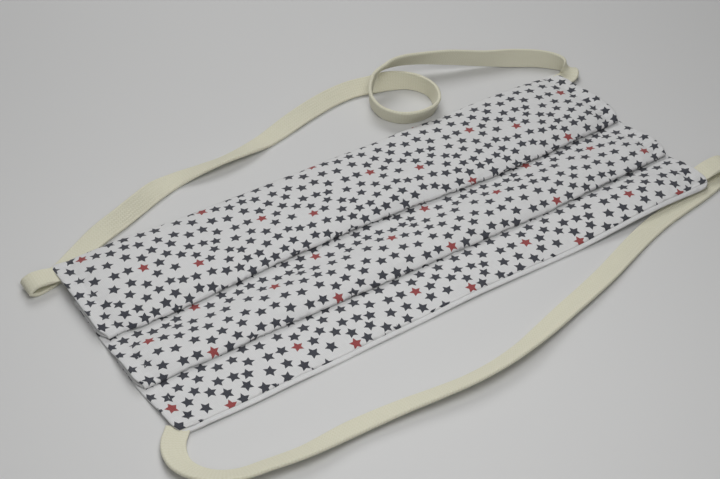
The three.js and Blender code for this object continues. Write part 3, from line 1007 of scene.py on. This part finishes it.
class MASK_OT_straps(bpy.types.Operator):
    """Build the two elastic straps along their routes"""

    bl_idname = "face_mask.straps"
    bl_label = "Elastic straps"

    def execute(self, context):
        settings = context.scene.mask_straps
        material = elastic_material(settings)
        for name, route, length in (
            ("upper_elastic", UPPER_ROUTE, UPPER_LENGTH),
            ("lower_elastic", LOWER_ROUTE, LOWER_LENGTH),
        ):
            strap, path = build_strap(name, route, settings, material)
            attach(strap, "root")
            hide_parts(name.replace("elastic", "strap"))
        return {"FINISHED"}


class MASK_OT_front_cloth(bpy.types.Operator):
    """Build the pleated front cloth with its star print"""

    bl_idname = "face_mask.front_cloth"
    bl_label = "Printed front cloth"

    def execute(self, context):
        settings = context.scene.mask_cloth
        thick, inset = settings.thickness / MM, settings.stitch_inset / MM
        stop = CLOTH_DOWN - settings.strip / MM

        def outer(x, s):
            sides = rounded(HALF_WIDTH - np.abs(x), 0.8)
            return parted(x, s) + thick * sides * rounded(s, 0.8) * rounded(stop - s, 0.35)

        def inner(x, s):
            return parted(x, s)

        inks = [
            cotton_material("White woven cotton, printed side", settings.cotton, 0.3),
            cotton_material("Woven cotton printed navy", settings.navy, 0.05),
            cotton_material("Woven cotton printed red", settings.red, 0.06),
        ]
        stars = printed_stars(0.0, stop, settings.star_radius / MM)
        rows = rows_of_cloth(0.0, stop)
        cloth = closed_cloth(
            "printed_front", columns_of_cloth(), rows, outer, inner, inset, inks, stars
        )
        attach(cloth, "root")
        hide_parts("front_panel")
        return {"FINISHED"}


class MASK_OT_lining(bpy.types.Operator):
    """Build the white lining with the strip that turns up below the print"""

    bl_idname = "face_mask.lining"
    bl_label = "White lining"

    def execute(self, context):
        settings = context.scene.mask_cloth
        thick, inset = settings.thickness / MM, settings.stitch_inset / MM
        seam = CLOTH_DOWN - settings.strip / MM

        def edges(x, s):
            return rounded(HALF_WIDTH - np.abs(x), 0.8) * rounded(CLOTH_DOWN - s, 0.75)

        def outer(x, s):
            strip = SEAM_GAP + thick * edges(x, s) * rounded(s - seam, 0.35)
            return np.where(s < seam, -parted(x, s), strip)

        def inner(x, s):
            return -parted(x, s) - thick * edges(x, s) * rounded(s, 0.8)

        rows = rows_of_cloth(0.0, CLOTH_DOWN, seam)
        cloth = closed_cloth(
            "white_lining", columns_of_cloth(), rows, outer, inner, inset, [white_cotton(settings)]
        )
        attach(cloth, "root")
        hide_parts("lining")
        return {"FINISHED"}


class MASK_OT_side_stitching(bpy.types.Operator):
    """Sew the two lines of stitches that hold the pleats at the sides"""

    bl_idname = "face_mask.side_stitching"
    bl_label = "Side stitching"

    def execute(self, context):
        settings = context.scene.mask_cloth
        inset = settings.stitch_inset / MM
        top = SEAM_GAP + settings.thickness / MM
        first, heel_1, second, heel_2 = TURNS
        panels = (
            (1.6, first - 1.4),
            (2 * heel_1 - first + 2.0, second - 1.4),
            (2 * heel_2 - second + 2.0, CLOTH_DOWN - 4.4),
        )
        rng = random.Random(11)
        vertices, faces = [], []
        sides, steps, pitch, stitch, radius = 8, 8, 2.6, 2.0, 0.1
        for side in (-1, 1):
            for start, stop in panels:
                for s0 in np.arange(start, stop - stitch, pitch):
                    t = np.linspace(0.0, 1.0, steps + 1)
                    x = side * (HALF_WIDTH - inset) + rng.uniform(-0.1, 0.1) + 0 * t
                    s = s0 + t * stitch
                    sunk = top - 0.3 + 0.24 * np.sin(math.pi * t) ** 0.5
                    line, normal = place_on_cloth(x, s, lambda u, v: np.interp(v, s, sunk), inset)
                    base = len(vertices)
                    for i, (p, n) in enumerate(zip(line, normal)):
                        along = line[min(i + 1, steps)] - line[max(i - 1, 0)]
                        along /= np.linalg.norm(along)
                        wide = np.cross(along, n)
                        for k in range(sides):
                            a = 2 * math.pi * k / sides
                            out = math.cos(a) * wide + math.sin(a) * np.cross(wide, along)
                            vertices.append((p + radius * out) * MM)
                    for i in range(steps):
                        for k in range(sides):
                            a = base + i * sides + k
                            b = base + i * sides + (k + 1) % sides
                            faces.append((a, b, b + sides, a + sides))
                    faces.append(tuple(base + k for k in range(sides))[::-1])
                    faces.append(tuple(base + steps * sides + k for k in range(sides)))
        thread = new_piece("side_stitching", vertices, faces, [thread_material()])
        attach(thread, "root")
        return {"FINISHED"}


class MASK_OT_stage(bpy.types.Operator):
    """Lay the pale floor and set the soft lights"""

    bl_idname = "face_mask.stage"
    bl_label = "Floor and lights"

    def execute(self, context):
        settings = context.scene.mask_stage
        scene = context.scene
        reach = 3.0
        corners = [(-reach, -reach, 0), (reach, -reach, 0), (reach, reach, 0), (-reach, reach, 0)]
        material, shader = new_material("Pale matt board")
        tree = material.node_tree
        place = add_node(tree, "ShaderNodeTexCoord")
        mottle = add_node(
            tree,
            "ShaderNodeTexNoise",
            {"Vector": place.outputs["Object"], "Scale": 6.0, "Detail": 2.0},
        )
        base = to_linear(settings.floor)
        paler = tuple(min(c * 1.03, 1.0) for c in base[:3]) + (1.0,)
        colour = add_node(
            tree, "ShaderNodeMix", {0: mottle.outputs[0], 6: base, 7: paler}, data_type="RGBA"
        )
        tree.links.new(colour.outputs[2], shader.inputs["Base Color"])
        shader.inputs["Roughness"].default_value = 0.75
        shader.inputs["IOR"].default_value = 1.5
        shader.inputs["Specular IOR Level"].default_value = 0.2
        floor = new_piece("floor", corners, [(0, 1, 2, 3)], [material])
        for name, at, aim, size, power in (
            ("Window", (0.12, 0.29, 0.37), (0.0, 0.0, 0.0), 0.26, 0.85),
            ("Lamp", (-0.06, -0.08, 0.23), (-0.01, -0.01, 0.0), 0.16, 0.27),
            ("Fill", (-0.3, -0.35, 0.35), (0.0, 0.0, 0.0), 0.3, 0.36),
        ):
            data = bpy.data.lights.new(name, "AREA")
            data.shape = "SQUARE"
            data.size = size
            data.energy = power
            lamp = bpy.data.objects.new(name, data)
            context.collection.objects.link(lamp)
            lamp.location = at
            lamp.rotation_euler = (Vector(aim) - Vector(at)).to_track_quat("-Z", "Y").to_euler()
        world = bpy.data.worlds.new("Studio")
        world.use_nodes = True
        world.node_tree.nodes.clear()
        glow = add_node(
            world.node_tree,
            "ShaderNodeBackground",
            {"Color": to_linear("#ececeb"), "Strength": 0.15},
        )
        add_node(world.node_tree, "ShaderNodeOutputWorld", {"Surface": glow.outputs[0]})
        scene.world = world
        scene.view_settings.view_transform = "Standard"
        return {"FINISHED"}


class MASK_PT_panel(bpy.types.Panel):
    """The mask's settings and the steps that build it"""

    bl_label = "Cloth Face Mask"
    bl_idname = "MASK_PT_panel"
    bl_space_type = "VIEW_3D"
    bl_region_type = "UI"
    bl_category = "Face Mask"

    def draw(self, context):
        for group in ("mask_cloth", "mask_straps", "mask_stage"):
            settings = getattr(context.scene, group)
            box = self.layout.box()
            for name in type(settings).__annotations__:
                box.prop(settings, name)
        for operator in OPERATORS:
            self.layout.operator(operator.bl_idname)


OPERATORS = (
    MASK_OT_camera,
    MASK_OT_straps,
    MASK_OT_front_cloth,
    MASK_OT_lining,
    MASK_OT_side_stitching,
    MASK_OT_stage,
)
GROUPS = {
    "mask_cloth": MaskClothSettings,
    "mask_straps": MaskStrapSettings,
    "mask_stage": MaskStageSettings,
}


def register():
    for kind in (*GROUPS.values(), *OPERATORS, MASK_PT_panel):
        bpy.utils.register_class(kind)
    for name, kind in GROUPS.items():
        setattr(bpy.types.Scene, name, PointerProperty(type=kind))


def unregister():
    for name in GROUPS:
        delattr(bpy.types.Scene, name)
    for kind in (MASK_PT_panel, *reversed(OPERATORS), *reversed(list(GROUPS.values()))):
        bpy.utils.unregister_class(kind)


def main():
    register()
    bpy.ops.face_mask.camera()
    bpy.ops.face_mask.straps()
    bpy.ops.face_mask.front_cloth()
    bpy.ops.face_mask.lining()
    bpy.ops.face_mask.side_stitching()
    bpy.ops.face_mask.stage()


if __name__ == "__main__":
    main()
